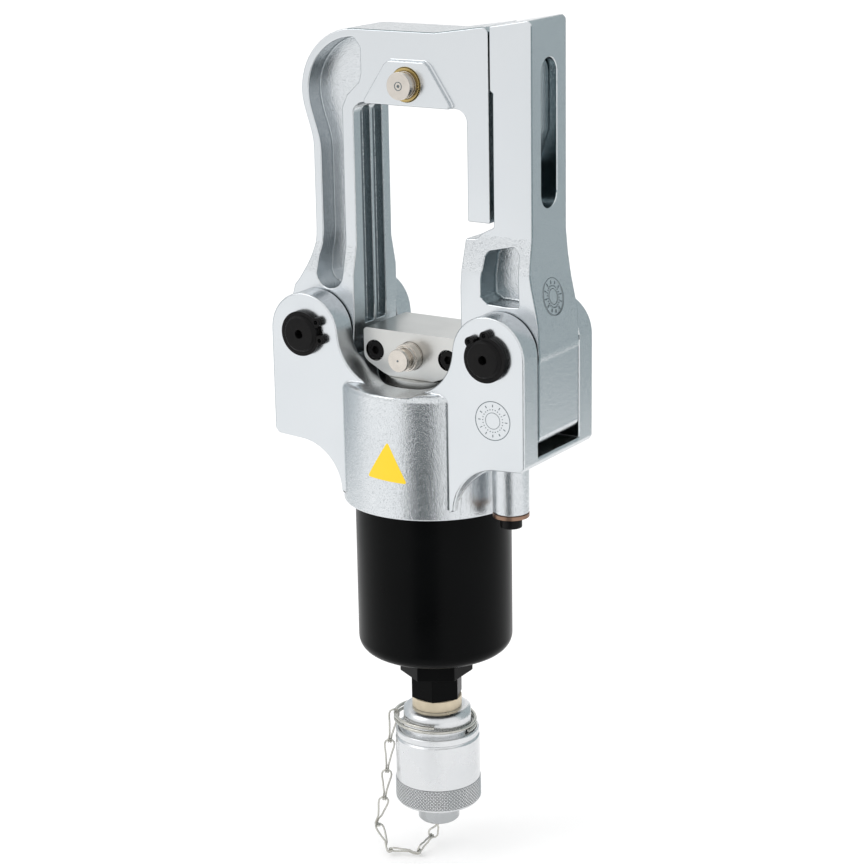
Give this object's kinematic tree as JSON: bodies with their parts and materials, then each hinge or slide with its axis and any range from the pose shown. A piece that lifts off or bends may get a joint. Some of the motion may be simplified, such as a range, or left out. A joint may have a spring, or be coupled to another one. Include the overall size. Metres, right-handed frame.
{
  "type": "hydraulic crimping head",
  "caption": "Hydraulic crimping head with a hinged yoke, swing latch, black ram cylinder and a hose coupling closed by a chained dust cap",
  "frame": {"origin": "on the ram's axis, in the middle of the straight part of the barrel that a cradle grips", "axes": "+Z along the ram towards the jaw, pivot pins parallel to Y, -Y the front with the cross screws and die pins, yoke hinged on the -X side"},
  "size_m": [0.1172, 0.072, 0.3481],
  "materials": {
    "zinc": "bright zinc plating over machined and forged steel, light blue cast in the recesses",
    "black_barrel": "satin black",
    "black_oxide": "black oxide, satin",
    "ground_steel": "ground bare steel",
    "nickel": "nickel plated, turned",
    "brass": "turned brass",
    "bronze": "bronze, turned",
    "beige_seal": "beige sealing ring",
    "copper": "soft copper",
    "coupling_steel": "bright zinc plated steel, fine turned",
    "chain_steel": "bright drawn wire",
    "spring_steel": "spring wire",
    "black_rubber": "black rubber"
  },
  "bodies": {
    "head": {"head_body": "zinc", "barrel": "black_barrel", "ram_bush": "bronze", "ram_wiper": "black_rubber", "spring_bolt": "ground_steel", "return_spring": "spring_steel", "yoke_pin": "black_oxide", "latch_pin": "black_oxide", "yoke_pin_clips": "black_oxide", "latch_pin_clips": "black_oxide", "lug_screw": "black_oxide", "lug_washer": "copper", "hex_adapter": "black_oxide", "hex_nipple": "black_oxide", "sealing_ring": "beige_seal", "coupler_body": "coupling_steel", "coupler_seal": "black_rubber", "poppet_spring": "spring_steel", "split_ring": "chain_steel", "chain": "chain_steel"},
    "ram": {"ram": "ground_steel", "piston_seal": "black_rubber", "piston_guide_ring": "bronze", "die_adapter": "ground_steel", "adapter_screws": "black_oxide", "lower_pin_spring": "spring_steel", "lower_pin_plug": "black_oxide"},
    "lower_die_pin": {"lower_die_pin": "nickel"},
    "yoke": {"yoke": "zinc", "upper_bush": "brass", "upper_button_spring": "spring_steel", "upper_button_plug": "black_oxide"},
    "upper_die_button": {"upper_die_button": "nickel"},
    "latch": {"latch": "zinc"},
    "cap_swivel": {"cap_swivel": "coupling_steel"},
    "dust_cap": {"dust_cap": "coupling_steel", "cap_seal": "black_rubber"},
    "poppet": {"coupler_poppet": "ground_steel"}
  },
  "joints": [
    {"name": "ram_slide", "type": "slide", "parent": "head", "child": "ram", "axis": [0, 0, 1], "range_m": [0, 0.042], "stiffness_N_per_m": 900, "springref_m": -0.03, "deforming": ["return_spring"]},
    {"name": "lower_pin_push", "type": "slide", "parent": "ram", "child": "lower_die_pin", "axis": [0, 1, 0], "range_m": [0, 0.009], "stiffness_N_per_m": 600, "springref_m": -0.004, "deforming": ["lower_pin_spring"]},
    {"name": "yoke_hinge", "type": "hinge", "parent": "head", "child": "yoke", "pos_m": [-0.0424, 0, 0.0972], "axis": [0, -1, 0], "range_deg": [0, 140]},
    {"name": "upper_button_push", "type": "slide", "parent": "yoke", "child": "upper_die_button", "axis": [0, 1, 0], "range_m": [0, 0.0045], "stiffness_N_per_m": 600, "springref_m": -0.004, "deforming": ["upper_button_spring"]},
    {"name": "latch_hinge", "type": "hinge", "parent": "head", "child": "latch", "pos_m": [0.0424, 0, 0.0972], "axis": [0, 1, 0], "range_deg": [0, 30]},
    {"name": "cap_travel", "type": "slide", "parent": "head", "child": "cap_swivel", "axis": [0, 0, -1], "range_m": [0, 0.012], "deforming": ["chain"]},
    {"name": "cap_turn", "type": "hinge", "parent": "cap_swivel", "child": "dust_cap", "pos_m": [0, 0, -0.1], "axis": [0, 0, -1], "range_deg": [0, 2160]},
    {"name": "poppet_push", "type": "slide", "parent": "head", "child": "poppet", "axis": [0, 0, 1], "range_m": [0, 0.002], "stiffness_N_per_m": 400, "springref_m": -0.004, "deforming": ["poppet_spring"]}
  ],
  "couplings": [
    {"joint": "cap_turn", "follows": "cap_travel", "rad_per_m": 3141.6}
  ]
}
